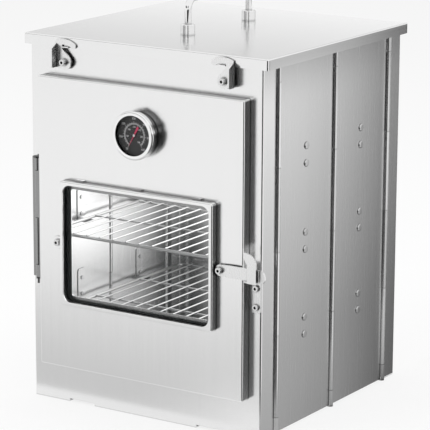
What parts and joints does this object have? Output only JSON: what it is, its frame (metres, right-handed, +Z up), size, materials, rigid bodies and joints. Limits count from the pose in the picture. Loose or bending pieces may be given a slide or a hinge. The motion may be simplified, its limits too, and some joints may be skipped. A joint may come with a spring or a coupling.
{
  "type": "folding camp oven",
  "caption": "Folding sheet-metal camp oven with hinged side walls, lift-off lid with a wire handle, side-hinged door with window, latch and dial thermometer, and wire racks.",
  "frame": {"origin": "on the ground under the middle of the body", "axes": "+Z up, front with the door towards -Y, +X to the right as seen from the front"},
  "size_m": [0.3136, 0.313, 0.4417],
  "materials": {
    "stainless_sheet": "mirror-bright stainless sheet",
    "stainless_panel": "bright rolled stainless sheet",
    "bright_hardware": "polished",
    "steel_bolt": "turned steel with a dark socket",
    "latch_steel": "satin",
    "rack_wire": "plated wire",
    "tray_steel": "dull, heat-stained",
    "window_glass": "clear heat-proof glass",
    "lens_glass": "clear",
    "seal": "matte",
    "dial_face": "matte black with white marks",
    "needle_red": "satin red",
    "case_black": "satin black"
  },
  "bodies": {
    "oven_body": {"front_frame": "stainless_sheet", "rear_frame": "stainless_sheet", "right_front_panel": "stainless_panel", "right_rear_panel": "stainless_panel", "left_front_panel": "stainless_panel", "left_rear_panel": "stainless_panel", "right_front_hinge_pin": "bright_hardware", "right_middle_hinge_pin": "bright_hardware", "right_rear_hinge_pin": "bright_hardware", "left_front_hinge_pin": "bright_hardware", "left_middle_hinge_pin": "bright_hardware", "left_rear_hinge_pin": "bright_hardware", "right_front_brackets": "stainless_panel", "right_rear_brackets": "stainless_panel", "left_front_brackets": "stainless_panel", "left_rear_brackets": "stainless_panel", "bracket_rivets": "bright_hardware", "base_tray": "tray_steel", "door_hinge_frame_leaf": "latch_steel", "door_hinge_pin": "bright_hardware", "door_hinge_clip": "bright_hardware", "latch_keeper": "latch_steel", "keeper_bolts": "steel_bolt", "keeper_nuts": "steel_bolt", "lid_latch_spacers": "steel_bolt", "lid_latch_bolts": "steel_bolt", "lid_latch_nuts": "steel_bolt", "lid_latch_washers": "steel_bolt"},
    "lid": {"lid_pan": "stainless_sheet", "lid_handle": "bright_hardware", "handle_collars": "bright_hardware", "collar_set_screws": "steel_bolt", "handle_screws": "steel_bolt"},
    "door": {"door_pan": "stainless_sheet", "window_frame": "bright_hardware", "window_glass": "window_glass", "window_gasket": "seal", "window_bolt": "steel_bolt", "latch_pivot_bolt": "steel_bolt", "latch_pivot_washer": "steel_bolt", "door_nuts": "steel_bolt", "door_hinge_door_leaf": "latch_steel", "thermometer_case": "case_black", "thermometer_bezel": "bright_hardware", "thermometer_lens": "lens_glass", "thermometer_dial": "dial_face", "thermometer_stem": "steel_bolt", "thermometer_nut": "steel_bolt"},
    "thermometer_needle": {"thermometer_needle": "needle_red"},
    "latch_arm": {"latch_arm": "latch_steel"},
    "lid_latch_left": {"lid_latch_left": "latch_steel"},
    "lid_latch_right": {"lid_latch_right": "latch_steel"},
    "rack_upper": {"rack_upper": "rack_wire"},
    "rack_lower": {"rack_lower": "rack_wire"}
  },
  "joints": [
    {"name": "door_swing", "type": "hinge", "parent": "oven_body", "child": "door", "pos_m": [-0.1365, -0.14495, 0.2008], "axis": [0, 0, -1], "range_deg": [0, 165]},
    {"name": "latch_lift", "type": "hinge", "parent": "door", "child": "latch_arm", "pos_m": [0.1045, -0.157, 0.18], "axis": [0, -1, 0], "range_deg": [0, 60]},
    {"name": "needle_sweep", "type": "hinge", "parent": "door", "child": "thermometer_needle", "pos_m": [0.003, -0.1645, 0.3095], "axis": [0, 1, 0], "range_deg": [0, 270]},
    {"name": "lid_lift", "type": "slide", "parent": "oven_body", "child": "lid", "axis": [0, 0, 1], "range_m": [0, 0.15]},
    {"name": "lid_latch_left_turn", "type": "hinge", "parent": "oven_body", "child": "lid_latch_left", "pos_m": [-0.0979, -0.146, 0.3735], "axis": [0, -1, 0], "range_deg": [0, 90]},
    {"name": "lid_latch_right_turn", "type": "hinge", "parent": "oven_body", "child": "lid_latch_right", "pos_m": [0.1011, -0.146, 0.3735], "axis": [0, 1, 0], "range_deg": [0, 90]},
    {"name": "rack_upper_lift", "type": "slide", "parent": "oven_body", "child": "rack_upper", "axis": [0, 0, 1], "range_m": [0, 0.07]},
    {"name": "rack_lower_lift", "type": "slide", "parent": "oven_body", "child": "rack_lower", "axis": [0, 0, 1], "range_m": [0, 0.07]}
  ]
}
